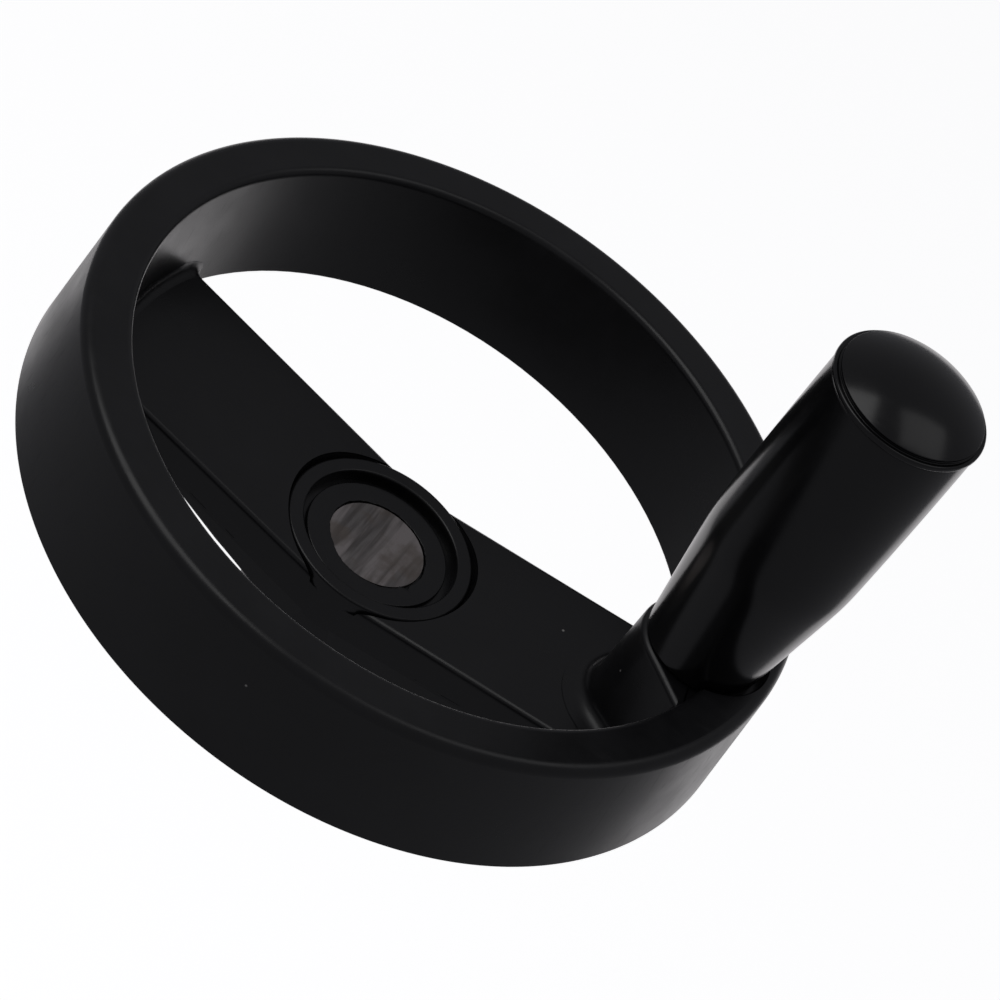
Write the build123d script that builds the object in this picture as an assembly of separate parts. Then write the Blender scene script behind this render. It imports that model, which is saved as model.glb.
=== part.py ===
from build123d import *
from math import acos, cos, hypot, radians, sin, sqrt, tan
import os

# Two-arm dished handwheel with a revolving handle. Millimetres and degrees.
# The origin is the centre of the hub's back face, where the shaft enters. +Z is the
# wheel's axis and points to the handle's side. +X runs along the arm that carries
# the handle. All heights are above the hub's back face.

# Rim
wheel_diameter = 125.0
rim_width = 10.9  # radial, at the back face, where the rim is widest
rim_depth = 22.0
rim_face_height = 42.0
rim_draft = 3.0
rim_outer_edge = 1.2
rim_inner_edge = 1.0
rim_back_edge = 0.8

# Arms: one bar through the hub, dished upwards to the rim on both sides
arm_width = 32.0  # at the mould's parting line
arm_top_draft = 1.8
arm_back_draft = 5.0
arm_rise_at_rim = 4.6  # top of the arm above the rim's back face
arm_landing = 0.4  # flat on the back, flush with the rim, before the arm dips
arm_parting_height = 10.1  # on the wheel's axis
arm_back_height = 3.6  # on the wheel's axis
arm_top_edge = 1.0
arm_back_edge = 1.0
arm_rim_fillet = 2.0

# Hub
hub_length = 18.0
hub_radius = 16.2  # at the parting line
hub_draft = 2.0
hub_back_edge = 0.8
ring_width = 2.6
ring_rise = 2.0  # above the arms' lowest point
ring_edge = 0.5
moat_width = 1.0  # round the ring, cut into the rising arms
moat_depth = 2.2  # below the ring's top
recess_groove_width = 1.2
recess_groove_depth = 3.1
recess_floor_depth = 2.2

# Steel bush moulded into the hub, bored for the shaft from the back
bore_diameter = 12.0
bore_depth = 12.5
bore_chamfer = 0.5
bush_radius = 11.5
bush_length = 12.6
bush_nose_radius = 8.6
bush_nose_depth = 3.0  # its bare face below the ring's top
bush_flat_width = 5.0
bush_flat_depth = 1.5

# Boss under the handle, flush with the rim's face
handle_inset = 13.6  # handle's axis from the wheel's outer edge
boss_radius = 10.7
boss_draft = 0.6
boss_flank_angle = 37.0
boss_edge = 1.0
boss_foot_fillet = 2.5

# Threaded bush moulded into the boss
socket_radius = 6.5
socket_length = 14.0
socket_flat_width = 5.0
socket_flat_depth = 1.0

# Spindle: threaded end, journal for the grip, slotted head
spindle_thread_diameter = 8.0
spindle_thread_length = 12.0
spindle_end_chamfer = 0.8
thread_runout = 1.0  # of the bush's hole below the spindle's end
journal_diameter = 10.0
head_radius = 7.5
head_thickness = 4.0
head_edge = 0.5
slot_width = 1.6
slot_depth = 2.0

# Grip: a cone that turns into a barrel
grip_base_radius = 9.55
grip_cone_radius = 12.05
grip_belly_radius = 12.8
grip_end_radius = 12.5
grip_cone_length = 22.0
grip_belly_height = 42.0  # above the boss
grip_length = 58.7
grip_base_edge = 0.5
grip_end_edge = 0.3
grip_bore_chamfer = 0.6
counterbore_radius = 9.2
counterbore_depth = 12.0

# Cap
cap_lip_radius = 12.8
cap_lip_height = 1.0
cap_lip_edge = 0.35
cap_groove_radius = 12.0
cap_groove_height = 0.5
cap_dome_radius = 12.25  # at the dome's foot
cap_dome_height = 3.5
cap_plug_length = 4.0
cap_plug_chamfer = 0.5

# Fits and clearances
running_clearance = 0.08  # radial, journal in grip
base_gap = 0.3  # grip above boss
head_gap = 0.15  # spindle head above the counterbore's floor

# Places that several pieces share
wheel_radius = wheel_diameter / 2
rim_back_height = rim_face_height - rim_depth
rim_taper = rim_depth * tan(radians(rim_draft))
rim_inner_radius = wheel_radius - rim_width  # at the back face
handle_offset = wheel_radius - handle_inset
arm_low_height = hub_length - ring_rise
arm_half_width = arm_width / 2
arm_end_x = rim_inner_radius + rim_width / 4
boss_end_x = rim_inner_radius + rim_width / 2
ring_radius = hub_radius - (hub_length - arm_parting_height) * tan(radians(hub_draft))
grip_base_height = rim_face_height + base_gap
grip_end_height = grip_base_height + grip_length
counterbore_floor_height = grip_end_height - counterbore_depth
head_height = counterbore_floor_height + head_gap
handle_axis = Pos(handle_offset, 0, 0)
touch = 0.05  # how closely an edge has to lie on a surface to count as on it

# Where an arm's side meets the rim's inner wall, and how far the fillet there reaches
arm_wall_x = sqrt(rim_inner_radius**2 - arm_half_width**2)
arm_corner_angle = acos(arm_half_width / rim_inner_radius)
arm_flush_x = arm_wall_x - arm_rim_fillet / tan(arm_corner_angle / 2) - arm_landing


def turned(*outline):
    """A solid of revolution about Z, from the (radius, height) corners of its section."""
    return revolve(Plane.XZ * make_face(Polyline(*outline, close=True)), Axis.Z)


def arm_top(x):
    """Height of the dished top, x from the wheel's axis."""
    return arm_low_height + (arm_rise_at_rim + rim_back_height - arm_low_height) * x / rim_inner_radius


def arm_back(x):
    """Height of the arm's back, which dips from the rim's back face to the hub."""
    if x > arm_flush_x:
        return rim_back_height
    return arm_back_height + (rim_back_height - arm_back_height) * x / arm_flush_x


def from_axis(point):
    """Distance of a point from the wheel's axis."""
    return hypot(point.X, point.Y)


def rim():
    """The ring: flat face and back, both walls drafted towards the face."""
    inner_back = (rim_inner_radius, rim_back_height)
    outer_back = (wheel_radius, rim_back_height)
    outer_face = (wheel_radius - rim_taper, rim_face_height)
    inner_face = (rim_inner_radius + rim_taper, rim_face_height)
    section = make_face(Polyline(inner_back, outer_back, outer_face, inner_face, close=True))
    roundings = (
        (outer_back, rim_back_edge),
        (outer_face, rim_outer_edge),
        (inner_face, rim_inner_edge),
    )
    for corner, radius in roundings:
        section = fillet(section.vertices().sort_by_distance(Vector(*corner))[0], radius)
    return revolve(Plane.XZ * section, Axis.Z)


def arm_slab():
    """One arm's side view, dished top and dipping back, made wider than the arm."""
    side = Polyline(
        (0, arm_low_height),
        (arm_end_x, arm_top(arm_end_x)),
        (arm_end_x, rim_back_height),
        (arm_flush_x, rim_back_height),
        (0, arm_back_height),
        close=True,
    )
    return extrude(Plane.XZ * make_face(side), amount=arm_width, both=True)


def arm_sides():
    """The space between an arm's side walls, drafted both ways from the parting line.

    The parting line runs out on the rim's back face at the rim's inner wall.
    """
    place = (0, 0, arm_parting_height)
    along = Vector(rim_inner_radius, 0, rim_back_height - arm_parting_height)
    up = along.cross(Vector(0, 1, 0))
    outline = Rectangle(2 * wheel_diameter, arm_width)
    upper = extrude(Plane(place, along, up) * outline, amount=wheel_radius, taper=arm_top_draft)
    lower = extrude(Plane(place, along, -up) * outline, amount=wheel_radius, taper=arm_back_draft)
    return upper + lower


def arm_top_edges(arm):
    """Both long top edges of an arm, and how they climb the foot of the boss."""

    def is_top_edge(edge):
        middle = edge.center()
        at_side = arm_half_width - arm_top_edge < abs(middle.Y) < arm_half_width
        at_top = arm_top(middle.X) - arm_top_edge < middle.Z < arm_top(middle.X) + boss_foot_fillet
        return at_side and at_top and 0 < middle.X < arm_end_x - arm_top_edge / 4

    return arm.edges().filter_by(is_top_edge)


def boss():
    """The handle's boss: round towards the hub, with flanks that spread to the rim."""
    flank = radians(boss_flank_angle)
    start_x = handle_offset - boss_radius * sin(flank)
    start_y = boss_radius * cos(flank)
    end_y = start_y + (boss_end_x - start_x) * tan(flank)
    front = ThreePointArc((start_x, start_y), (handle_offset - boss_radius, 0), (start_x, -start_y))
    flanks = Polyline((start_x, -start_y), (boss_end_x, -end_y), (boss_end_x, end_y), (start_x, start_y))
    plan = Pos(0, 0, rim_face_height) * make_face(front + flanks)
    block = extrude(plan, amount=-rim_face_height, taper=-boss_draft)
    block = fillet(block.faces().sort_by(Axis.Z)[-1].edges(), boss_edge)
    sunk = arm_rise_at_rim / 2
    seat = Polyline(
        (0, arm_top(0) - sunk),
        (wheel_radius, arm_top(wheel_radius) - sunk),
        (wheel_radius, rim_face_height),
        (0, rim_face_height),
        close=True,
    )
    return block & extrude(Plane.XZ * make_face(seat), amount=wheel_radius, both=True)


def plain_arm():
    """The arm without a handle."""
    arm = arm_slab() & arm_sides()
    return mirror(fillet(arm_top_edges(arm), arm_top_edge), Plane.YZ)


def handle_arm():
    """The arm with the boss, whose foot blends into the dished top."""

    def is_foot_edge(edge):
        middle = edge.center()
        at_top = abs(middle.Z - arm_top(middle.X)) < boss_edge / 2
        inside = middle.X < arm_end_x and abs(middle.Y) < arm_half_width
        return at_top and inside and edge.geom_type != GeomType.LINE

    arm = arm_slab() + boss()
    arm = fillet(arm.edges().filter_by(is_foot_edge), boss_foot_fillet) & arm_sides()
    return fillet(arm_top_edges(arm), arm_top_edge)


def hub():
    """The hub with its raised ring and recess, drafted both ways from the parting line."""
    back_radius = hub_radius - arm_parting_height * tan(radians(hub_draft))
    recess_radius = ring_radius - ring_width
    groove_height = hub_length - recess_groove_depth
    floor_height = hub_length - recess_floor_depth
    nose_height = hub_length - bush_nose_depth
    barrel = turned(
        (0, 0),
        (back_radius, 0),
        (hub_radius, arm_parting_height),
        (ring_radius, hub_length),
        (recess_radius, hub_length),
        (recess_radius, groove_height),
        (recess_radius - recess_groove_width, groove_height),
        (recess_radius - recess_groove_width, floor_height),
        (bush_nose_radius, floor_height),
        (bush_nose_radius, nose_height),
        (0, nose_height),
    )
    ring_edges = barrel.faces().sort_by(Axis.Z)[-1].edges()
    barrel = fillet(ring_edges, ring_edge)
    back_edges = barrel.faces().sort_by(Axis.Z)[0].edges()
    return fillet(back_edges, hub_back_edge)


def keyed(bush, radius, length, flat_width, flat_depth):
    """A round bush that stands on the origin's plane, with two flats milled across its
    middle. The moulding fills them, so that the bush can neither turn nor pull out."""
    cutter = Box(flat_depth, 2 * radius, flat_width, align=(Align.MAX, Align.CENTER, Align.CENTER))
    cutter = Pos(radius, 0, length / 2) * cutter
    return bush - cutter - mirror(cutter, Plane.YZ)


def hub_bush():
    """Steel bush without its bore. Its nose shows as a bare disc in the middle of the hub."""
    nose_height = hub_length - bush_nose_depth
    bush = turned(
        (0, 0),
        (bush_radius, 0),
        (bush_radius, bush_length),
        (bush_nose_radius, bush_length),
        (bush_nose_radius, nose_height),
        (0, nose_height),
    )
    return keyed(bush, bush_radius, bush_length, bush_flat_width, bush_flat_depth)


def hub_insert():
    """The hub's bush with its blind bore, chamfered at the mouth."""
    bore_radius = bore_diameter / 2
    bore = turned(
        (0, 0),
        (bore_radius + bore_chamfer, 0),
        (bore_radius, bore_chamfer),
        (bore_radius, bore_depth),
        (0, bore_depth),
    )
    return hub_bush() - bore


def handle_bush():
    """The boss's bush without its hole, flush with the top of the boss."""
    bush = turned((0, 0), (socket_radius, 0), (socket_radius, socket_length), (0, socket_length))
    bush = keyed(bush, socket_radius, socket_length, socket_flat_width, socket_flat_depth)
    return Pos(handle_offset, 0, rim_face_height - socket_length) * bush


def spindle_end_height():
    """Height of the lower end of the spindle's thread."""
    return rim_face_height - spindle_thread_length


def handle_insert():
    """The boss's bush, with the blind hole that the spindle's thread fills."""
    hole_radius = spindle_thread_diameter / 2
    hole_height = spindle_end_height() - thread_runout
    hole = turned(
        (0, hole_height),
        (hole_radius, hole_height),
        (hole_radius, rim_face_height),
        (0, rim_face_height),
    )
    return handle_bush() - handle_axis * hole


def wheel_body():
    """One moulding: rim, both arms, hub and boss, with the metal bushes' seats left out."""

    def on_rim_wall(point):
        wall = rim_inner_radius + (point.Z - rim_back_height) * tan(radians(rim_draft))
        return abs(from_axis(point) - wall) < touch

    def is_wall_edge(edge):
        middle = edge.center()
        inside = rim_back_height + touch < middle.Z < rim_face_height - rim_inner_edge
        on_arm = abs(middle.Y) < arm_half_width
        return inside and on_arm and all(on_rim_wall(edge @ share) for share in (0, 0.5, 1))

    def is_back_edge(edge):
        middle = edge.center()
        on_back = abs(arm_back(abs(middle.X)) - middle.Z) < touch
        clear_of_hub = all(from_axis(corner) > hub_radius - hub_back_edge for corner in edge.vertices())
        return on_back and clear_of_hub and abs(middle.Y) > arm_half_width - arm_back_edge

    moat_height = hub_length - moat_depth
    moat_radius = ring_radius + moat_width
    moat = turned(
        (0, moat_height),
        (moat_radius, moat_height),
        (moat_radius, rim_face_height),
        (0, rim_face_height),
    )
    body = rim() + (handle_arm() + plain_arm() - moat)
    for arm_side in (-1, 1):
        wall_edges = body.edges().filter_by(is_wall_edge)
        body = fillet([edge for edge in wall_edges if arm_side * edge.center().X > 0], arm_rim_fillet)
    body = body + hub()
    body = fillet(body.edges().filter_by(is_back_edge), arm_back_edge)
    body = body - hub_bush() - handle_bush()
    return body


def spindle():
    """Shoulder screw: thread in the bush, journal up to the head, screwdriver slot."""
    thread_radius = spindle_thread_diameter / 2
    end_height = spindle_end_height()
    head_top = head_height + head_thickness
    screw = turned(
        (0, end_height),
        (thread_radius - spindle_end_chamfer, end_height),
        (thread_radius, end_height + spindle_end_chamfer),
        (thread_radius, rim_face_height),
        (journal_diameter / 2, rim_face_height),
        (journal_diameter / 2, head_height),
        (head_radius, head_height),
        (head_radius, head_top - head_edge),
        (head_radius - head_edge, head_top),
        (0, head_top),
    )
    slot = Box(2 * head_radius, slot_width, slot_depth, align=(Align.CENTER, Align.CENTER, Align.MAX))
    return handle_axis * (screw - Pos(0, 0, head_top) * slot)


def grip():
    """The revolving grip: a cone that turns into a barrel, bored for the journal and
    counterbored for the spindle's head and the cap."""
    base = grip_base_height
    end = grip_end_height
    bore_radius = journal_diameter / 2 + running_clearance
    cone_end = (grip_cone_radius, base + grip_cone_length)
    belly = (grip_belly_radius, base + grip_belly_height)
    cone = Line((grip_base_radius, base), cone_end)
    barrel = ThreePointArc(cone_end, belly, (grip_end_radius, end))
    inside = Polyline(
        (grip_end_radius, end),
        (counterbore_radius, end),
        (counterbore_radius, counterbore_floor_height),
        (bore_radius, counterbore_floor_height),
        (bore_radius, base + grip_bore_chamfer),
        (bore_radius + grip_bore_chamfer, base),
        (grip_base_radius, base),
    )
    section = make_face(cone + barrel + inside)
    roundings = (
        ((grip_base_radius, base), grip_base_edge),
        ((grip_end_radius, end), grip_end_edge),
    )
    for corner, radius in roundings:
        section = fillet(section.vertices().sort_by_distance(Vector(*corner))[0], radius)
    return handle_axis * revolve(Plane.XZ * section, Axis.Z)


def cap():
    """Domed cap: a plug pressed into the counterbore, a lip, a groove and the dome."""
    seat = grip_end_height
    lip_top = seat + cap_lip_height
    groove_top = lip_top + cap_groove_height
    top = groove_top + cap_dome_height
    outline = Polyline(
        (0, top),
        (0, seat - cap_plug_length),
        (counterbore_radius - cap_plug_chamfer, seat - cap_plug_length),
        (counterbore_radius, seat - cap_plug_length + cap_plug_chamfer),
        (counterbore_radius, seat),
        (cap_lip_radius, seat),
        (cap_lip_radius, lip_top),
        (cap_groove_radius, lip_top),
        (cap_groove_radius, groove_top),
        (cap_dome_radius, groove_top),
    )
    dome_radius = (cap_dome_radius**2 + cap_dome_height**2) / (2 * cap_dome_height)
    dome = RadiusArc((cap_dome_radius, groove_top), (0, top), -dome_radius)
    section = make_face(outline + dome)
    for corner in ((cap_lip_radius, seat), (cap_lip_radius, lip_top)):
        section = fillet(section.vertices().sort_by_distance(Vector(*corner))[0], cap_lip_edge)
    return handle_axis * revolve(Plane.XZ * section, Axis.Z)


pieces = {
    "wheel_body": wheel_body,
    "hub_insert": hub_insert,
    "handle_insert": handle_insert,
    "handle_spindle": spindle,
    "handle_grip": grip,
    "handle_cap": cap,
}

os.makedirs("parts", exist_ok=True)
for name, make in pieces.items():
    export_step(make(), f"parts/{name}.step")
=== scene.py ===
import math

import bmesh
import bpy
from mathutils import Matrix, Vector

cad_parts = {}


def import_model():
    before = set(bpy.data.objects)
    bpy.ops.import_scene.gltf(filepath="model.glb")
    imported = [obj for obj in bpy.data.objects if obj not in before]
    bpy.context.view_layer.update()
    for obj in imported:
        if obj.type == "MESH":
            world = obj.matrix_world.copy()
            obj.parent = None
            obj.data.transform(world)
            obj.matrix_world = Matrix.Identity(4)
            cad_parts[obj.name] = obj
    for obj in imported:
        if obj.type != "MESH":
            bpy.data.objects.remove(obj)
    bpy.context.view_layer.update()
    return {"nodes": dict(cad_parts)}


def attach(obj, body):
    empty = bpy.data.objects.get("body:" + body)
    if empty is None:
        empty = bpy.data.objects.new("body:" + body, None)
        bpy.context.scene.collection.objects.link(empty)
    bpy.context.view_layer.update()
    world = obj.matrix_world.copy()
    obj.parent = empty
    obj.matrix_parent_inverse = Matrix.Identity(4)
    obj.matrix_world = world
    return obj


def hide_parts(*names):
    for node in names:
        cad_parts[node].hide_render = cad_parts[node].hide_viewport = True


# The object's lengths are in millimetres in the part's frame, with heights above the hub's back
# face. What stands round it, the camera, lights and floor, is in metres, and so are bump depths.
MM = 0.001

# Camera: its place and its axes in the part's frame, and its lens for a sensor 36 mm wide
CAMERA_PLACE = Vector((19.843, -534.924, 489.356)) * MM
CAMERA_RIGHT = Vector((0.78644, 0.40532, 0.46607))
CAMERA_UP = Vector((-0.61753, 0.50050, 0.60675))
CAMERA_BACK = CAMERA_RIGHT.cross(CAMERA_UP)
LENS = 165.35
SENSOR_WIDTH = 36.0
NEAREST, FURTHEST = 0.05, 60.0

# Studio
OBJECT_CENTRE = Vector((12, 0, 50)) * MM
FLOOR_HEIGHT = -0.42
FLOOR_HALF_SIZE = 12.0
WHITE = (1, 1, 1)
WARM_WHITE = (1.0, 0.97, 0.98)
PAPER = (0.85, 0.85, 0.85)
PAPER_GLOW = 0.8
WALL_GREY = (0.155, 0.155, 0.165)

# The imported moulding
CAD_FACE = 42.0
CAD_BACK = 20.0
CAD_OUTER = 62.5
CAD_INNER = 51.6
CAD_BACK_EDGE = 0.8
CAD_ARM_TOP = 16.0
CAD_ARM_BACK = 3.6
CAD_ARM_CLIMB = CAD_BACK + 4.6 - CAD_ARM_TOP
CAD_ARM_EDGE = 1.0
CAD_ARM_HALF_WIDTH = 16.0
CAD_ARM_FLUSH = 45.9
CAD_ARM_BACK_DRAFT = math.tan(math.radians(5))
CAD_PARTING = 10.1
CAD_RECESS_FLOOR = 15.8
CAD_RECESS_RADIUS = 13.3
CAD_MOAT_OUTER = 16.92
CAD_NOSE = 15.0
CAD_NOSE_RADIUS = 8.6
CAD_COLLAR = 12.7
HANDLE_AXIS = 48.9
DRAFT = math.tan(math.radians(3))

# The rim and the arms as the photograph shows them
FACE = 43.2
BACK = 19.92
OUTER = 62.48
OUTER_FACE = 61.28
INNER = 52.1
OUTER_EDGE = 1.82
INNER_EDGE = 1.24
BACK_EDGE = 0.4
ARM_BACK_EDGE = 0.4
HUB_LIFT = 0.1
ARM_LIFT = 0.5
ARM_LIFT_AT_RIM = 0.3

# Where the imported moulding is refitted: radii, or distances along or beside the arms, up to
# which a change holds, or between which it sets in
HUB_REACH = 17.2
RING_REACH = 16.4
RIM_HEIGHTS_FROM = (47, 51.5)
RIM_WALL_FROM = (45.5, CAD_INNER)
MOAT_ENDS = (13.5, 14.8)
ARM_BACK_FROM_HUB = (17.5, 20)
ARM_BACK_FROM_RIM = (45, 42)
ARM_BACK_REACH = 48
CLEAR_OF_ARM = (19.4, 24)

# The boss under the handle, and the round pocket over it that is cut into the rim's face
BOSS_TOP = 40.7
BOSS_RADIUS = 10.05
BOSS_EDGE = 1.1
BOSS_FLANK = math.radians(37)
BOSS_CORNER = 1.6
BOSS_DRAFT = math.tan(math.radians(0.6))
BOSS_FOOT = 2.3
CORNER_FOOT = 0.5
BOSS_APRON = 1.6
POCKET = 10.6
POCKET_CHAMFER = 0.25

# The hub's raised ring, the grooves on both sides of it, its floor and the steel disc
RING_TOP = 18.2
RING_OUTER = 15.94
RING_INNER = 13.28
RING_OUTER_EDGE = 0.45
RING_INNER_EDGE = 0.4
RING_FOOT = (16.03, 15.5)
MOAT_OUTER = 16.45
MOAT_DEPTH = 1.1
GROOVE_FLOOR = 15.4
GROOVE_INNER = 12.2
GROOVE_EDGE = 0.3
HUB_FLOOR = 16.72
HUB_FLOOR_RADIUS = 12.1
HUB_FLOOR_EDGE = 0.25
FLASH_START = 9.4
FLASH_DROP = 0.14
FLASH_EDGE = 0.12
HOLE = 8.4
HOLE_BOTTOM = 15.0
NOSE = 16.45
NOSE_RADIUS = 8.2

# The grip, a cone that runs softly into a barrel
GRIP_BASE = 41.0
GRIP_END = 100.7
CONE_RADIUS = 9.5
CONE_SLOPE = 0.12
BARREL_RADIUS = 12.6
BARREL_MIDDLE = 46
BARREL_CURVE = 0.0004
CONE_BLEND = 0.12
GRIP_BASE_EDGE = 0.4
GRIP_END_EDGE = 0.3
GRIP_BORE = 5.08
GRIP_MOUTH = 6.7
GRIP_SHOULDER = CAD_FACE + 0.15
GRIP_HOLLOW = 9.2
GRIP_HOLLOW_DEPTH = 12

# The cap's plug, lip, neck and dome
PLUG_DEPTH = 4
PLUG_CHAMFER = 0.5
LIP_RADIUS = 12.8
LIP_HEIGHT = 1
LIP_EDGE = 0.35
NECK_RADIUS = 12.0
NECK_EDGE = 0.15
DOME_FOOT = 1.5
DOME_RADIUS = 12.25
DOME_RISE = 3.5
DOME_EDGE = 0.12

# How finely the shapes are made
SKIN = 0.008
SUPPORT = 0.02
MERGED = 0.0001
SHARP = math.radians(28)
CORNER_STEPS = 8
FLANK_STEPS = 12
FRONT_STEPS = 30
WALL_STEPS = 24
DOME_STEPS = 24
RIDGE_STEPS = 60
GRIP_STEPS = 90
MOAT_STEPS = 120

KEPT_NORMAL = "cad_normal"


def camera():
    data = bpy.data.cameras.new("photo_camera")
    data.lens = LENS
    data.sensor_width = SENSOR_WIDTH
    data.clip_start = NEAREST
    data.clip_end = FURTHEST
    eye = bpy.data.objects.new("photo_camera", data)
    bpy.context.scene.collection.objects.link(eye)
    axes = Matrix((CAMERA_RIGHT, CAMERA_UP, CAMERA_BACK)).transposed()
    eye.matrix_world = Matrix.Translation(CAMERA_PLACE) @ axes.to_4x4()
    bpy.context.scene.camera = eye


def photo_direction(right, up, back):
    """A direction given by its shares along the camera's axes."""
    return (right * CAMERA_RIGHT + up * CAMERA_UP + back * CAMERA_BACK).normalized()


def softbox(name, direction, distance, width, height, radiance, tint=WHITE):
    """A flat soft light that faces the object, with a radiance that doesn't depend on its size."""
    data = bpy.data.lights.new(name, "AREA")
    data.shape = "RECTANGLE"
    data.size = width
    data.size_y = height
    data.energy = radiance * width * height * math.pi
    data.color = tint
    lamp = bpy.data.objects.new(name, data)
    bpy.context.scene.collection.objects.link(lamp)
    aim = direction.to_track_quat("Z", "Y").to_matrix().to_4x4()
    lamp.matrix_world = Matrix.Translation(OBJECT_CENTRE + distance * direction) @ aim
    lamp.visible_camera = False


def studio():
    above = photo_direction(right=-0.05, up=0.78, back=0.62)
    beside = photo_direction(right=0.8, up=0.42, back=0.43)
    behind = photo_direction(right=0.05, up=0.0, back=-1.0)
    softbox("top_softbox", above, distance=0.9, width=0.55, height=0.75, radiance=1.1)
    softbox("right_card", beside, distance=0.9, width=0.4, height=0.5, radiance=0.45)
    softbox("back_card", behind, distance=0.45, width=0.75, height=0.6, radiance=0.7, tint=WARM_WHITE)


def world():
    """Grey walls round the object, which the camera sees as plain white."""
    sky = bpy.data.worlds.new("studio_walls")
    bpy.context.scene.world = sky
    sky.use_nodes = True
    nodes, links = sky.node_tree.nodes, sky.node_tree.links
    nodes.clear()
    out = nodes.new("ShaderNodeOutputWorld")
    mix = nodes.new("ShaderNodeMixShader")
    path = nodes.new("ShaderNodeLightPath")
    walls = nodes.new("ShaderNodeBackground")
    backdrop = nodes.new("ShaderNodeBackground")
    walls.inputs["Color"].default_value = (*WALL_GREY, 1)
    backdrop.inputs["Color"].default_value = (*WHITE, 1)
    links.new(path.outputs["Is Camera Ray"], mix.inputs["Fac"])
    links.new(walls.outputs["Background"], mix.inputs[1])
    links.new(backdrop.outputs["Background"], mix.inputs[2])
    links.new(mix.outputs["Shader"], out.inputs["Surface"])


def floor():
    half = FLOOR_HALF_SIZE
    mesh = bpy.data.meshes.new("studio_floor")
    corners = [(-half, -half, 0), (half, -half, 0), (half, half, 0), (-half, half, 0)]
    mesh.from_pydata(corners, [], [(0, 1, 2, 3)])
    ground = bpy.data.objects.new("studio_floor", mesh)
    ground.location.z = FLOOR_HEIGHT
    bpy.context.scene.collection.objects.link(ground)
    paper, shader = material("studio_paper", PAPER, 0.9)
    shader.inputs["Emission Color"].default_value = (*WHITE, 1)
    shader.inputs["Emission Strength"].default_value = PAPER_GLOW
    mesh.materials.append(paper)
    ground.visible_glossy = False
    ground.visible_diffuse = False


def clamp(value):
    return min(max(value, 0.0), 1.0)


def smooth(low, high, value):
    """0 up to low and 1 from high on, with a soft change between them. Low may be the larger."""
    share = clamp((value - low) / (high - low))
    return share * share * (3 - 2 * share)


def mixed(first, second, share):
    return first + (second - first) * share


def inner_wall(height):
    """Radius of the rim's inner wall, which opens towards the face."""
    return INNER + (height - BACK) * DRAFT


def arm_top(x):
    """Height of the arm's dished top."""
    along = min(abs(x), CAD_INNER) / CAD_INNER
    return CAD_ARM_TOP + CAD_ARM_CLIMB * abs(x) / CAD_INNER + mixed(ARM_LIFT, ARM_LIFT_AT_RIM, along)


def arm_edge(x, y):
    """Height of the arm's top, with the rounding of 1 mm along its sides."""
    flat_half_width = 14.9
    over = clamp(abs(y) - flat_half_width)
    return arm_top(x) - 1 + math.sqrt(max(1 - over**2, 0.0))


def parting_height(x):
    """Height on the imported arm's side of the line where the mould's halves met."""
    return CAD_PARTING + (CAD_BACK - CAD_PARTING) * abs(x) / CAD_INNER


def dressed(node, suffix, move):
    """A copy of a CAD node in its place, with every point moved by a function of millimetres."""
    copy = node.copy()
    copy.data = node.data.copy()
    copy.name = copy.data.name = node.name + suffix
    bpy.context.scene.collection.objects.link(copy)
    kept = copy.data.attributes.new(KEPT_NORMAL, "FLOAT_VECTOR", "CORNER")
    for corner, normal in enumerate(copy.data.corner_normals):
        kept.data[corner].vector = normal.vector
    place = node.matrix_world.copy()
    back = place.inverted()
    for vertex in copy.data.vertices:
        vertex.co = back @ (Vector(move(*(place @ vertex.co / MM))) * MM)
    return copy


def keep_normals(piece):
    """Shades a moved copy by the normals that its CAD node had."""
    mesh = piece.data
    kept = mesh.attributes[KEPT_NORMAL]
    normals = [Vector(item.vector) for item in kept.data]
    mesh.attributes.remove(kept)
    mesh.normals_split_custom_set(normals)


def body_shift(x, y, z):
    """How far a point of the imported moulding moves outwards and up, and the arm's top there."""
    radius = math.hypot(x, y)
    along = 0.0 if radius < HUB_REACH else min(abs(x), CAD_INNER) / CAD_INNER
    top = CAD_ARM_TOP + CAD_ARM_CLIMB * along
    back = CAD_ARM_BACK + (CAD_BACK - CAD_ARM_BACK) * along
    lift = HUB_LIFT if radius < RING_REACH else mixed(ARM_LIFT, ARM_LIFT_AT_RIM, along)
    arm_rise = lift * clamp((z - back) / (top - back))
    boss_rise = (FACE - CAD_FACE - lift) * clamp((z - top) / (CAD_FACE - top))
    depth_share = (z - CAD_BACK) / (CAD_FACE - CAD_BACK)
    rim_rise = mixed(BACK - CAD_BACK, FACE - CAD_FACE, depth_share)
    up = mixed(arm_rise + boss_rise, rim_rise, smooth(*RIM_HEIGHTS_FROM, radius))
    out = (INNER - CAD_INNER) * smooth(*RIM_WALL_FROM, radius)
    return out, up, top


def on_moat_wall(radius, z):
    beside, below = 0.15, 0.1
    return abs(radius - CAD_MOAT_OUTER) < beside and z > CAD_RECESS_FLOOR - below


def narrowed_moat(x, y, place):
    """A point of the moat's outer wall moved inwards, or along the arm's side where the wall ends there."""
    radius = math.hypot(x, y)
    share = smooth(*MOAT_ENDS, abs(y))
    beside = math.copysign(math.sqrt(max(MOAT_OUTER**2 - y**2, 0.0)), x)
    place.x = mixed(x * MOAT_OUTER / radius, beside, share)
    place.y = mixed(y * MOAT_OUTER / radius, y, share)
    return place


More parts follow.
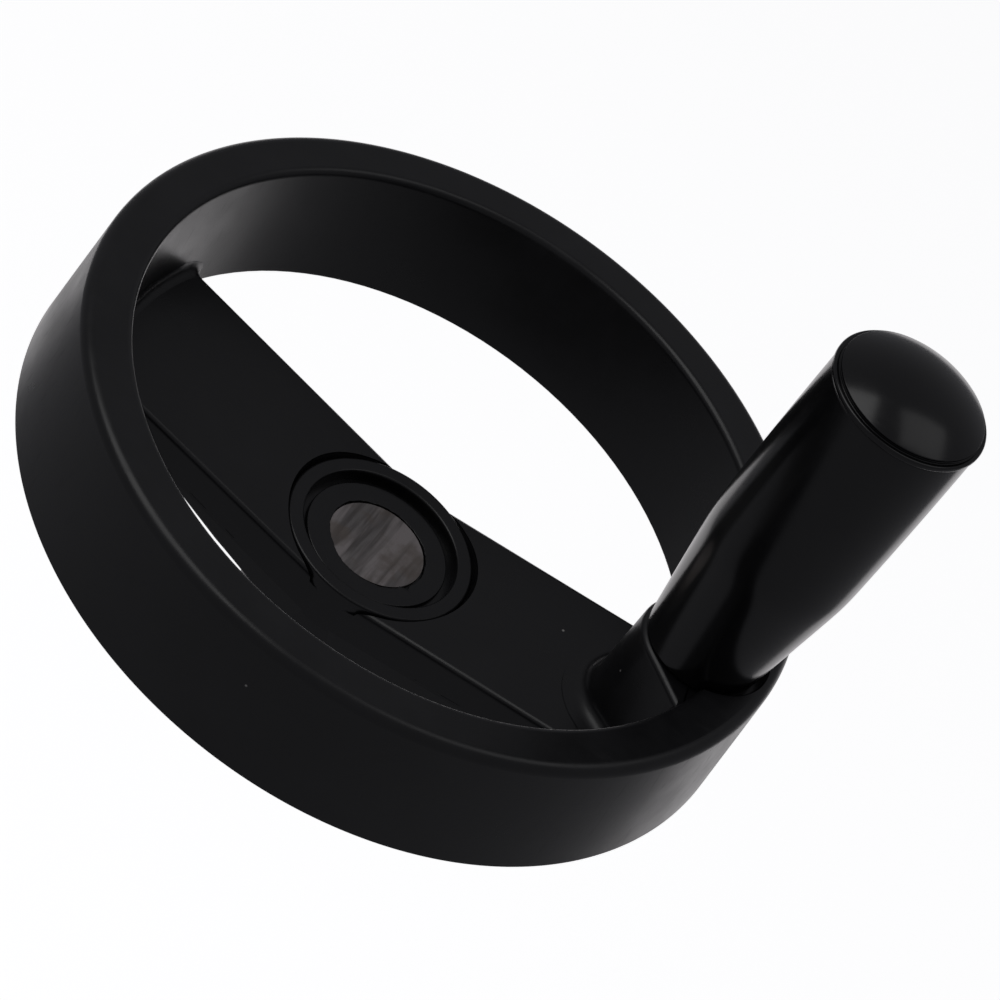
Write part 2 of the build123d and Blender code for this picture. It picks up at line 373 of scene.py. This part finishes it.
def sharpened_back(x, y, z, place):
    """A point of an arm's back edge, whose rounding is made tighter between hub and rim."""
    back = CAD_ARM_BACK + (CAD_BACK - CAD_ARM_BACK) * abs(x) / CAD_ARM_FLUSH
    side = CAD_ARM_HALF_WIDTH - (parting_height(x) - back) * CAD_ARM_BACK_DRAFT
    inwards, above = side - abs(y), z - back
    past_side, under_back, past_edge = 0.02, 0.05, 0.1
    if inwards < CAD_ARM_EDGE + past_side and -under_back < above < CAD_ARM_EDGE + past_edge:
        between = smooth(*ARM_BACK_FROM_HUB, abs(x)) * smooth(*ARM_BACK_FROM_RIM, abs(x))
        share = between * (1 - ARM_BACK_EDGE / CAD_ARM_EDGE)
        place.y += math.copysign(share * inwards, y)
        place.z -= share * above
    return place


def back_corner(wall, height, radius, side):
    """Centre of the rounding between the rim's back and a wall, the inner one with side 1, the outer -1."""
    return wall + side * (radius * DRAFT + radius / math.cos(math.atan(DRAFT))), height + radius


def sharpened_rim(x, y, z, place):
    """A point of the rim's back edges, whose roundings are made tighter, on the inside clear of the arms."""
    radius = math.hypot(x, y)
    beside, past_end = 0.03, 0.08
    for side, cad_wall, cad_edge, wall, share in (
        (1, CAD_INNER, CAD_ARM_EDGE, INNER, smooth(*CLEAR_OF_ARM, abs(y))),
        (-1, CAD_OUTER, CAD_BACK_EDGE, OUTER, 1.0),
    ):
        old = back_corner(cad_wall, CAD_BACK, cad_edge, side)
        across, rise = radius - old[0], z - old[1]
        if abs(math.hypot(across, rise) - cad_edge) < beside and max(side * across, rise) < past_end:
            new = back_corner(wall, BACK, BACK_EDGE, side)
            ratio = BACK_EDGE / cad_edge
            stretch = (new[0] + across * ratio) / radius
            return place.lerp(Vector((x * stretch, y * stretch, new[1] + rise * ratio)), share)
    return place


def drawn_to_boss(x, y, z, top, place):
    """A point of the arm's top round the boss, drawn towards the handle's axis by up to 1 mm."""
    inside, outside, before_rim, below_top = (8, 10), (13.3, 15.3), (53, 46), (-1.5, -0.2)
    across = math.hypot(x - HANDLE_AXIS, y)
    around = smooth(*inside, across) * (1 - smooth(*outside, across))
    near = around * smooth(*before_rim, x) * smooth(top + below_top[0], top + below_top[1], z)
    if near:
        place.x -= near * (x - HANDLE_AXIS) / across
        place.y -= near * y / across
    return place


def refit_body(x, y, z):
    """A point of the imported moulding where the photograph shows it."""
    radius = math.hypot(x, y)
    out, up, top = body_shift(x, y, z)
    share = (radius + out) / radius if radius else 1.0
    place = Vector((x * share, y * share, z + up))
    if on_moat_wall(radius, z):
        return narrowed_moat(x, y, place)
    if ARM_BACK_FROM_HUB[0] < abs(x) < ARM_BACK_FROM_RIM[0] and radius < ARM_BACK_REACH:
        place = sharpened_back(x, y, z, place)
    return drawn_to_boss(x, y, z, top, sharpened_rim(x, y, z, place))


def refit_hub_insert(x, y, z):
    """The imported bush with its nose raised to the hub's recessed floor."""
    if z < CAD_COLLAR:
        return x, y, z
    share = NOSE_RADIUS / CAD_NOSE_RADIUS
    return x * share, y * share, NOSE if z > CAD_NOSE - 1 else z


def strip_body(wheel):
    """Takes off what finer pieces stand for: the rim, the hub's recessed floor and the boss."""
    mesh = bmesh.new()
    mesh.from_mesh(wheel.data)
    doomed = [face for face in mesh.faces if is_pan(face) or is_rim(face) or is_boss(face)]
    bmesh.ops.delete(mesh, geom=doomed, context="FACES")
    mesh.to_mesh(wheel.data)
    mesh.free()


def reach_of(vertex):
    """A mesh vertex's distance from the wheel's axis."""
    return math.hypot(vertex.co.x, vertex.co.y) / MM


def is_pan(face):
    """Whether a face of the refitted body is a floor of the hub's recess, which would hide the disc."""
    beside, below, above, level = 0.01, 0.05, 0.06, 0.9
    lowest = CAD_NOSE + body_shift(0, 1, CAD_NOSE)[1] - below
    highest = CAD_RECESS_FLOOR + body_shift(0, 1, CAD_RECESS_FLOOR)[1] + above
    inside = all(reach_of(vertex) < CAD_RECESS_RADIUS + beside for vertex in face.verts)
    between = all(lowest < vertex.co.z / MM < highest for vertex in face.verts)
    return inside and between and abs(face.normal.z) > level


def is_rim(face):
    """Whether a face lies on the rim's inner wall or further out."""
    beside, past_wall = 0.06, 0.35

    def on_wall(vertex):
        reach = reach_of(vertex)
        return abs(reach - inner_wall(vertex.co.z / MM)) < beside or reach > INNER + past_wall

    return all(on_wall(vertex) for vertex in face.verts)


def is_boss(face):
    """Whether a face at the handle's end stands above the arm's top, or well above its rounded side."""
    handle_end, past_side, flat_half_width = 30, 17.5, 14.7
    above_flat, above_side = 0.25, 2.2
    middle = face.calc_center_median() / MM
    beside, above = abs(middle.y), middle.z - arm_top(middle.x)
    least = above_flat if beside < flat_half_width else above_side
    return middle.x > handle_end and beside < past_side and above > least


def rounded(corners):
    """The points of a closed outline whose corners, each with its rounding, are rounded off."""
    points = []
    for before, corner, after in zip(corners[-1:] + corners[:-1], corners, corners[1:] + corners[:1]):
        here, radius = Vector(corner[:2]), corner[2]
        if not radius:
            points.append(here)
            continue
        back = (Vector(before[:2]) - here).normalized()
        ahead = (Vector(after[:2]) - here).normalized()
        half = back.angle(ahead) / 2
        reach = radius / math.tan(half)
        centre = here + (back + ahead).normalized() * radius / math.sin(half)
        start, end = here + back * reach - centre, here + ahead * reach - centre
        sweep = math.pi - 2 * half
        points.append(here + back * (reach + SUPPORT))
        for step in range(CORNER_STEPS + 1):
            share = step / CORNER_STEPS
            arm = math.sin((1 - share) * sweep) * start + math.sin(share * sweep) * end
            points.append(centre + arm / math.sin(sweep))
        points.append(here + ahead * (reach + SUPPORT))
    return points


def finished(name, mesh):
    """An object with the mesh that was built, sharp only at real corners."""
    data = bpy.data.meshes.new(name)
    mesh.to_mesh(data)
    mesh.free()
    data.set_sharp_from_angle(angle=SHARP)
    made = bpy.data.objects.new(name, data)
    bpy.context.scene.collection.objects.link(made)
    return made


def lathed(name, outline, centre=0.0, turns=360, ragged=None):
    """A solid of revolution from the points of a closed outline."""
    mesh = bmesh.new()
    columns = []
    for turn in range(turns):
        angle = 2 * math.pi * turn / turns
        column = []
        for radius, height in (point[:2] for point in outline):
            reach = radius + (ragged(radius, angle) if ragged else 0)
            place = Vector((centre + reach * math.cos(angle), reach * math.sin(angle), height))
            column.append(mesh.verts.new(place * MM))
        columns.append(column)
    for first, second in zip(columns, columns[1:] + columns[:1]):
        for low in range(len(outline)):
            high = (low + 1) % len(outline)
            mesh.faces.new((first[low], second[low], second[high], first[high])).smooth = True
    bmesh.ops.remove_doubles(mesh, verts=mesh.verts, dist=MM * MERGED)
    bmesh.ops.recalc_face_normals(mesh, faces=mesh.faces)
    return finished(name, mesh)


def add_sheet(mesh, rows):
    """Faces between each row of vertices and the next."""
    for first, second in zip(rows, rows[1:]):
        for low in range(len(first) - 1):
            mesh.faces.new((first[low], first[low + 1], second[low + 1], second[low])).smooth = True


def turned_towards(mesh, direction):
    """An open surface with the side that is to be seen towards a direction."""
    bmesh.ops.recalc_face_normals(mesh, faces=mesh.faces)
    if sum(face.normal.dot(direction) for face in mesh.faces) < 0:
        bmesh.ops.reverse_faces(mesh, faces=mesh.faces)
    return mesh


def rim_ring():
    """The whole rim, with the round pocket over the boss cut into its face."""
    face = FACE + SKIN
    ring = lathed("rim_ring", rounded([
        (INNER, BACK, BACK_EDGE), (OUTER, BACK, BACK_EDGE),
        (OUTER_FACE, face, OUTER_EDGE), (inner_wall(FACE), face, INNER_EDGE),
    ]), turns=480)
    cutter = pocket_cutter(face)
    cut = ring.modifiers.new("pocket", "BOOLEAN")
    cut.operation = "DIFFERENCE"
    cut.solver = "EXACT"
    cut.object = cutter
    view = bpy.context.evaluated_depsgraph_get()
    data = bpy.data.meshes.new_from_object(ring.evaluated_get(view))
    ring.modifiers.clear()
    ring.data = data
    bpy.data.objects.remove(cutter)
    data.set_sharp_from_angle(angle=SHARP)
    return ring


def pocket_cutter(face):
    """What is cut away above the boss: a cylinder with a steep chamfer at its mouth."""
    mouth, above = POCKET + 1.5 * POCKET_CHAMFER, face + 2
    return lathed("pocket", [
        (0, BOSS_TOP), (POCKET, BOSS_TOP), (POCKET, face - POCKET_CHAMFER),
        (mouth, face + POCKET_CHAMFER / 2), (mouth, above), (0, above),
    ], centre=HANDLE_AXIS, turns=180)


def boss_front():
    """Half of the front's arc, from the arm's middle to where the flank begins."""
    turn = math.pi / 2 - BOSS_FLANK
    for step in range(FRONT_STEPS + 1):
        angle = turn * step / FRONT_STEPS
        out = Vector((-math.cos(angle), -math.sin(angle)))
        yield Vector((HANDLE_AXIS, 0)) + BOSS_RADIUS * out, out, 0.0


def boss_corner(centre, out):
    """The rounded corner that leads from a flank to the rim's inner wall and just into it."""
    into_wall = 0.02
    from_angle = math.atan2(out.y, out.x)
    to_angle = math.atan2(-centre.y, -centre.x)
    sweep = (to_angle - from_angle + math.pi) % (2 * math.pi) - math.pi
    for step in range(1, FLANK_STEPS + 1):
        share = step / FLANK_STEPS
        angle = from_angle + sweep * share
        normal = Vector((math.cos(angle), math.sin(angle)))
        yield centre - (BOSS_CORNER + into_wall * share) * normal, normal, share


def boss_plan():
    """Half of the boss's plan at its top: places, outward directions and shares of the corner."""
    plan = list(boss_front())
    start, out = plan[-1][:2]
    ahead = Vector((math.cos(BOSS_FLANK), -math.sin(BOSS_FLANK)))
    seat = start + BOSS_CORNER * out
    along = seat.dot(ahead)
    corner_reach = inner_wall(BOSS_TOP) - BOSS_CORNER
    length = math.sqrt(along**2 - seat.length_squared + corner_reach**2) - along
    for step in range(1, FLANK_STEPS + 1):
        plan.append((start + ahead * length * step / FLANK_STEPS, out, 0.0))
    plan.extend(boss_corner(seat + ahead * length, out))
    return plan


def boss_column(place, out, corner):
    """The boss's surface above one point of its plan, from the top down to its foot on the arm."""
    draft = mixed(BOSS_DRAFT, DRAFT, corner)
    foot_fades, wall_shares = (0.0, 0.4), (0.02, 0.5, 0.98)
    foot = mixed(BOSS_FOOT, CORNER_FOOT, smooth(*foot_fades, corner))
    edge = BOSS_EDGE

    def at(reach, height):
        x, y = place + out * reach
        return Vector((x, y, height))

    column = [at(-edge - SUPPORT, BOSS_TOP)]
    for step in range(CORNER_STEPS + 1):
        angle = math.pi / 2 * (1 - step / CORNER_STEPS)
        reach = edge * draft - edge + edge * math.cos(angle)
        column.append(at(reach, BOSS_TOP - edge + edge * math.sin(angle)))
    reach = (BOSS_TOP - arm_top(place.x)) * draft + foot
    end = place + out * reach
    arm = arm_top(end.x)
    slope = out.x * (arm_top(end.x + 1) - arm)
    wall_foot = arm + foot * (1 - slope)
    for share in wall_shares:
        height = mixed(BOSS_TOP - edge, wall_foot, share)
        column.append(at((BOSS_TOP - height) * draft, height))
    for step in range(CORNER_STEPS + 1):
        angle = math.pi / 2 * step / CORNER_STEPS
        away = -foot * math.cos(angle)
        column.append(at(reach + away, arm + slope * away + foot * (1 - math.sin(angle)) + SKIN))
    flat = place + out * (reach + BOSS_APRON)
    column.append(at(reach + BOSS_APRON, arm_top(flat.x) + SKIN / 2))
    return [held_on_arm(point, arm) for point in column]


def held_on_arm(point, arm):
    """A point of the boss that would stand past the arm's side, put on the side or sunk into it."""
    side, low, sunk = 15.75, 0.4, 1.5
    if abs(point.y) > side:
        point.y = math.copysign(side, point.y)
        if point.z < arm + low:
            point.z = min(point.z, arm - sunk)
    return point


def boss():
    """The boss under the handle, with its rounded top edge and its foot on the arm."""
    half = [boss_column(*row) for row in boss_plan()]
    other = [[Vector((p.x, -p.y, p.z)) for p in column] for column in half[:0:-1]]
    mesh = bmesh.new()
    grid = [[mesh.verts.new(point * MM) for point in column] for column in other + half]
    add_sheet(mesh, grid)
    into_rim = 0.15
    behind_wall = inner_wall(BOSS_TOP) + into_rim
    last = math.atan2(other[0][0].y, other[0][0].x)
    back = []
    for step in range(WALL_STEPS + 1):
        angle = mixed(-last, last, step / WALL_STEPS)
        place = Vector((behind_wall * math.cos(angle), behind_wall * math.sin(angle), BOSS_TOP - SKIN))
        back.append(mesh.verts.new(place * MM))
    middle = mesh.verts.new(Vector((HANDLE_AXIS, 0, BOSS_TOP)) * MM)
    border = [column[0] for column in grid] + back
    for first, second in zip(border, border[1:] + border[:1]):
        mesh.faces.new((middle, first, second)).smooth = True
    bmesh.ops.remove_doubles(mesh, verts=mesh.verts, dist=MM * MERGED)
    return finished("boss_as_seen", turned_towards(mesh, Vector((0, 0, 1))))


def moat_sides():
    """The sloping outer sides of the groove round the hub's ring, one to each arm."""
    sweep, under_arm, hollow = math.radians(72), 0.03, 1.5
    slope_shares = (0.0, 0.15, 0.6, 0.9, 1.0)
    mesh = bmesh.new()
    for arm in (0, math.pi):
        rows = []
        for step in range(MOAT_STEPS + 1):
            angle = arm + mixed(-sweep, sweep, step / MOAT_STEPS)
            across, beside = math.cos(angle), math.sin(angle)
            at_arm = arm_edge(MOAT_OUTER * across, MOAT_OUTER * beside) - MOAT_DEPTH / 2
            low = min(RING_TOP - MOAT_DEPTH, at_arm)
            row = []
            for share in slope_shares:
                radius = mixed(RING_OUTER, MOAT_OUTER + under_arm, share)
                x, y = radius * across, radius * beside
                height = mixed(low, arm_edge(x, y) - SKIN, share**hollow)
                row.append(mesh.verts.new(Vector((x, y, height)) * MM))
            rows.append(row)
        add_sheet(mesh, rows)
    return finished("moat_sides", turned_towards(mesh, Vector((0, 0, 1))))


def parting_ridge(arm, side):
    """The thin line of flash along one side of an arm, where the mould's halves met."""
    mesh = bmesh.new()
    half_height, crest, sunk = 0.16, 0.03, -0.02
    at_hub, at_rim = 17.6, 46.5
    rows = []
    for step in range(RIDGE_STEPS + 1):
        x = arm * mixed(at_hub, at_rim, step / RIDGE_STEPS)
        base = refit_body(x, side * CAD_ARM_HALF_WIDTH, parting_height(x))
        proud = 0.05 + 0.025 * math.sin(0.9 * x + side) + 0.015 * math.sin(2.3 * x)
        section = ((sunk, -half_height), (proud, -crest), (proud, crest), (sunk, half_height))
        rows.append([mesh.verts.new((base + Vector((0, side * out, up))) * MM) for out, up in section])
    add_sheet(mesh, rows)
    return finished("parting_ridge", turned_towards(mesh, Vector((0, side, 0))))


def bump_at(angle, middle, width):
    """A smooth bump of 1 round a direction, in radians."""
    away = (angle - middle + math.pi) % (2 * math.pi) - math.pi
    return math.exp(-((away / width) ** 2))


def flash_edge(angle):
    """Ragged edge of the moulding round the steel disc, outwards in millimetres."""
    waves = 0.05 * math.sin(3 * angle + 0.7) + 0.05 * math.sin(7 * angle + 2.1) + 0.035 * math.sin(17 * angle)
    waves += 0.025 * math.sin(31 * angle + 1.3) + 0.02 * math.sin(53 * angle)
    overhang = bump_at(angle, math.radians(-135), 0.75)
    notch = bump_at(angle, math.radians(-25), 0.07)
    burr = bump_at(angle, math.radians(-33), 0.035)
    return waves - 0.5 * overhang + 0.5 * notch - 0.3 * burr


def ragged_hole(radius, angle):
    """The ragged edge's share at a radius: whole at the hole, none on the hub's floor."""
    none_from, whole_from = 9.2, 8.6
    return flash_edge(angle) * smooth(none_from, whole_from, radius)


def hub_face():
    """Ring, groove and floor round the steel disc, with the moulding's ragged edge at the disc."""
    return lathed("hub_face", rounded([
        (*RING_FOOT, 0), (RING_OUTER, RING_TOP, RING_OUTER_EDGE), (RING_INNER, RING_TOP, RING_INNER_EDGE),
        (RING_INNER - 0.05, GROOVE_FLOOR, GROOVE_EDGE), (GROOVE_INNER, GROOVE_FLOOR, GROOVE_EDGE),
        (HUB_FLOOR_RADIUS, HUB_FLOOR, HUB_FLOOR_EDGE), (FLASH_START, HUB_FLOOR, 0),
        (HOLE + 0.1, HUB_FLOOR - FLASH_DROP, FLASH_EDGE), (HOLE, HOLE_BOTTOM + 0.3, 0),
        (HOLE, HOLE_BOTTOM, 0), (HOLE + 1.6, HOLE_BOTTOM, 0),
    ]), turns=720, ragged=ragged_hole)


def grip_radius(height):
    """The grip's radius at a height above its base."""
    cone = CONE_RADIUS + CONE_SLOPE * height
    barrel = BARREL_RADIUS - BARREL_CURVE * (height - BARREL_MIDDLE) ** 2
    return -CONE_BLEND * math.log(math.exp(-cone / CONE_BLEND) + math.exp(-barrel / CONE_BLEND))


def grip():
    """The handle's sleeve, bored for the spindle and hollow at its end for the spindle's head."""
    length = GRIP_END - GRIP_BASE
    hollow_floor = GRIP_END - GRIP_HOLLOW_DEPTH
    side = []
    for step in range(1, GRIP_STEPS):
        share = step / GRIP_STEPS
        side.append((grip_radius(mixed(0, length, share)), mixed(GRIP_BASE, GRIP_END, share), 0))
    return lathed("grip_as_seen", rounded([
        (GRIP_BORE, GRIP_SHOULDER, 0), (GRIP_MOUTH, GRIP_SHOULDER, 0), (GRIP_MOUTH, GRIP_BASE, 0),
        (grip_radius(0), GRIP_BASE, GRIP_BASE_EDGE), *side, (grip_radius(length), GRIP_END, GRIP_END_EDGE),
        (GRIP_HOLLOW, GRIP_END, 0), (GRIP_HOLLOW, hollow_floor, 0), (GRIP_BORE, hollow_floor, 0),
    ]), centre=HANDLE_AXIS)


def cap():
    """The domed cap, with its plug in the grip's hollow and its lip on the grip's end."""
    seat = GRIP_END + 0.01
    plug = GRIP_END - PLUG_DEPTH
    lip = GRIP_END + LIP_HEIGHT
    foot = GRIP_END + DOME_FOOT
    ball = (DOME_RADIUS**2 + DOME_RISE**2) / (2 * DOME_RISE)
    dome = []
    for step in range(1, DOME_STEPS + 1):
        angle = math.asin(DOME_RADIUS / ball) * (1 - step / DOME_STEPS)
        dome.append((ball * math.sin(angle), foot + DOME_RISE - ball * (1 - math.cos(angle)), 0))
    return lathed("cap_as_seen", rounded([
        (0, plug, 0), (GRIP_HOLLOW - PLUG_CHAMFER, plug, 0), (GRIP_HOLLOW, plug + PLUG_CHAMFER, 0),
        (GRIP_HOLLOW, seat, 0), (LIP_RADIUS, seat, LIP_EDGE), (LIP_RADIUS, lip, LIP_EDGE),
        (NECK_RADIUS, lip, NECK_EDGE), (NECK_RADIUS, foot, NECK_EDGE), (DOME_RADIUS, foot, DOME_EDGE), *dome,
    ]), centre=HANDLE_AXIS)


def joined(pieces):
    """The pieces as one object, the first of them."""
    first = pieces[0]
    with bpy.context.temp_override(active_object=first, selected_editable_objects=pieces, object=first):
        bpy.ops.object.join()
    return first


def wheel_as_seen(node):
    """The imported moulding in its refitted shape, with the finer pieces that stand for parts of it."""
    body = dressed(node, "_as_seen", refit_body)
    strip_body(body)
    keep_normals(body)
    ridges = [parting_ridge(arm, side) for arm in (-1, 1) for side in (-1, 1)]
    return joined([body, rim_ring(), hub_face(), moat_sides(), boss(), *ridges])


def disc_as_seen(node):
    disc = dressed(node, "_as_seen", refit_hub_insert)
    keep_normals(disc)
    return disc


def material(name, colour, roughness):
    """A new material and its shader."""
    made = bpy.data.materials.new(name)
    made.use_nodes = True
    shader = made.node_tree.nodes["Principled BSDF"]
    shader.inputs["Base Color"].default_value = (*colour, 1)
    shader.inputs["Roughness"].default_value = roughness
    return made, shader


def coordinates(made, stretch=(1, 1, 1), turn=0.0):
    """The part's own coordinates, stretched along the axes."""
    nodes, links = made.node_tree.nodes, made.node_tree.links
    source = nodes.new("ShaderNodeTexCoord")
    mapping = nodes.new("ShaderNodeMapping")
    mapping.inputs["Scale"].default_value = stretch
    mapping.inputs["Rotation"].default_value = (0, 0, turn)
    links.new(source.outputs["Object"], mapping.inputs["Vector"])
    return mapping.outputs["Vector"]


def texture(made, kind, place, **settings):
    """A texture node laid over the given coordinates."""
    node = made.node_tree.nodes.new(kind)
    for name, value in settings.items():
        node.inputs[name].default_value = value
    made.node_tree.links.new(place, node.inputs["Vector"])
    return node


def noise(made, place, **settings):
    return texture(made, "ShaderNodeTexNoise", place, **settings).outputs["Fac"]


def spread(made, value, low, high, to_low=0.0, to_high=1.0):
    """A value taken from one range to another, and held at the ends."""
    node = made.node_tree.nodes.new("ShaderNodeMapRange")
    node.interpolation_type = "SMOOTHSTEP"
    for name, number in zip(("From Min", "From Max", "To Min", "To Max"), (low, high, to_low, to_high)):
        node.inputs[name].default_value = number
    made.node_tree.links.new(value, node.inputs["Value"])
    return node.outputs["Result"]


def combined(made, operation, first, second):
    """The sum or the product of two values."""
    node = made.node_tree.nodes.new("ShaderNodeMath")
    node.operation = operation
    made.node_tree.links.new(first, node.inputs[0])
    made.node_tree.links.new(second, node.inputs[1])
    return node.outputs["Value"]


def blended(made, share, first, second):
    """A colour between two, each a plain colour or another node's output."""
    node = made.node_tree.nodes.new("ShaderNodeMix")
    node.data_type = "RGBA"
    made.node_tree.links.new(share, node.inputs["Factor"])
    for socket, colour in ((node.inputs[6], first), (node.inputs[7], second)):
        if isinstance(colour, tuple):
            socket.default_value = (*colour, 1)
        else:
            made.node_tree.links.new(colour, socket)
    return node.outputs[2]


def bumped(made, shader, layers):
    """Bump nodes in a row, each from a height, a strength and a depth in metres."""
    links = made.node_tree.links
    below = None
    for height, strength, depth in layers:
        node = made.node_tree.nodes.new("ShaderNodeBump")
        node.inputs["Strength"].default_value = strength
        node.inputs["Distance"].default_value = depth
        links.new(height, node.inputs["Height"])
        if below:
            links.new(below, node.inputs["Normal"])
        below = node.outputs["Normal"]
    links.new(below, shader.inputs["Normal"])


def dust(made, place, scale, size, rarity):
    """Sparse specks: 1 on a speck, 0 elsewhere."""
    cells = texture(made, "ShaderNodeTexVoronoi", place, Scale=scale, Randomness=1.0)
    split = made.node_tree.nodes.new("ShaderNodeSeparateColor")
    made.node_tree.links.new(cells.outputs["Color"], split.inputs["Color"])
    spot = spread(made, cells.outputs["Distance"], size, size * 0.5)
    chosen = spread(made, split.outputs["Red"], rarity, rarity + 0.01)
    return combined(made, "MULTIPLY", spot, chosen)


def plastic(name, dark, light, roughness, scuffing, peel, grain, specks):
    """Black moulded plastic: clouded tone and gloss, orange peel, fine grain, scuffs and a little dust."""
    dust_colour = (0.32, 0.31, 0.30)
    peel_depth, grain_depth, fleck_depth = 0.0002, 0.00003, 0.00006
    made, shader = material(name, dark, roughness[0])
    links = made.node_tree.links
    shader.inputs["IOR"].default_value = 1.5
    place = coordinates(made)
    clouds = noise(made, place, Scale=70.0, Detail=5.0, Roughness=0.6)
    waves = noise(made, place, Scale=190.0, Detail=2.0)
    grains = noise(made, place, Scale=2600.0, Detail=2.0)
    scratched = coordinates(made, (1.0, 9.0, 1.0), 0.7)
    scuffs = noise(made, scratched, Scale=150.0, Detail=3.0, Distortion=0.6)
    flecks = dust(made, place, scale=95.0, size=0.028, rarity=1 - specks)
    tone = blended(made, spread(made, clouds, 0.35, 0.7), dark, light)
    links.new(blended(made, flecks, tone, dust_colour), shader.inputs["Base Color"])
    shine = spread(made, clouds, 0.3, 0.7, *roughness)
    scuffed = spread(made, scuffs, 0.58, 0.72, 0.0, scuffing)
    worn = combined(made, "ADD", shine, scuffed)
    dusty = combined(made, "MULTIPLY", flecks, flecks)
    links.new(combined(made, "ADD", worn, dusty), shader.inputs["Roughness"])
    layers = ((waves, peel, peel_depth), (grains, grain, grain_depth), (flecks, 0.6, fleck_depth))
    bumped(made, shader, layers)
    return made


def bare_steel():
    """Sawn and brushed steel, with brown and pinkish blotches."""
    groove, ridge = (0.19, 0.175, 0.168), (0.5, 0.455, 0.445)
    stroke, stain = (0.36, 0.345, 0.345), (0.23, 0.195, 0.17)
    made, shader = material("bare_steel", (0.4, 0.37, 0.36), 0.4)
    links = made.node_tree.links
    shader.inputs["Metallic"].default_value = 1.0
    across = coordinates(made, (1.0, 0.09, 0.4), math.radians(-8))
    strokes = noise(made, across, Scale=1500.0, Detail=4.0, Distortion=0.3)
    broad = noise(made, across, Scale=420.0, Detail=3.0, Distortion=0.5)
    blotches = noise(made, coordinates(made), Scale=170.0, Detail=4.0)
    tone = blended(made, spread(made, broad, 0.38, 0.6), groove, ridge)
    tone = blended(made, spread(made, strokes, 0.3, 0.7, 0.0, 0.5), tone, stroke)
    tone = blended(made, spread(made, blotches, 0.45, 0.62, 0.0, 0.65), tone, stain)
    links.new(tone, shader.inputs["Base Color"])
    links.new(spread(made, strokes, 0.3, 0.7, 0.34, 0.55), shader.inputs["Roughness"])
    bumped(made, shader, ((broad, 0.5, 0.00005), (strokes, 0.5, 0.00003)))
    return made


def turned_steel():
    """Lathe-turned steel with fine rings round its axis."""
    made, shader = material("turned_steel", (0.5, 0.49, 0.48), 0.25)
    links = made.node_tree.links
    shader.inputs["Metallic"].default_value = 1.0
    rings = noise(made, coordinates(made, (0.02, 0.02, 1.0)), Scale=6000.0, Detail=3.0)
    haze = noise(made, coordinates(made), Scale=240.0, Detail=3.0)
    links.new(blended(made, haze, (0.42, 0.41, 0.4), (0.56, 0.55, 0.54)), shader.inputs["Base Color"])
    links.new(spread(made, rings, 0.3, 0.7, 0.2, 0.36), shader.inputs["Roughness"])
    bumped(made, shader, ((rings, 0.4, 0.00002),))
    return made


def paint(obj, made):
    obj.data.materials.clear()
    obj.data.materials.append(made)
    for face in obj.data.polygons:
        face.material_index = 0


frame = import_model()

camera()
studio()
world()
floor()
bpy.context.scene.view_settings.view_transform = "Standard"
moulding = plastic(
    "moulding", dark=(0.0062, 0.0062, 0.007), light=(0.0088, 0.0088, 0.01),
    roughness=(0.27, 0.36), scuffing=0.06, peel=0.10, grain=0.28, specks=0.1,
)
polished = plastic(
    "polished_moulding", dark=(0.0035, 0.0035, 0.004), light=(0.0048, 0.0048, 0.0054),
    roughness=(0.15, 0.2), scuffing=0.03, peel=0.02, grain=0.06, specks=0.05,
)
steel = bare_steel()
nodes = frame["nodes"]
wheel = wheel_as_seen(nodes["wheel_body"])
disc = disc_as_seen(nodes["hub_insert"])
handle, lid = grip(), cap()
for piece, name, made, slot, riding in (
    (wheel, "wheel_body", moulding, "moulding", "wheel"),
    (disc, "hub_insert", steel, "bare_steel", "wheel"),
    (handle, "handle_grip", polished, "polished_moulding", "handle"),
    (lid, "handle_cap", polished, "polished_moulding", "handle"),
):
    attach(piece, riding)
    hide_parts(name)
    paint(piece, made)
paint(nodes["handle_insert"], steel)
paint(nodes["handle_spindle"], turned_steel())
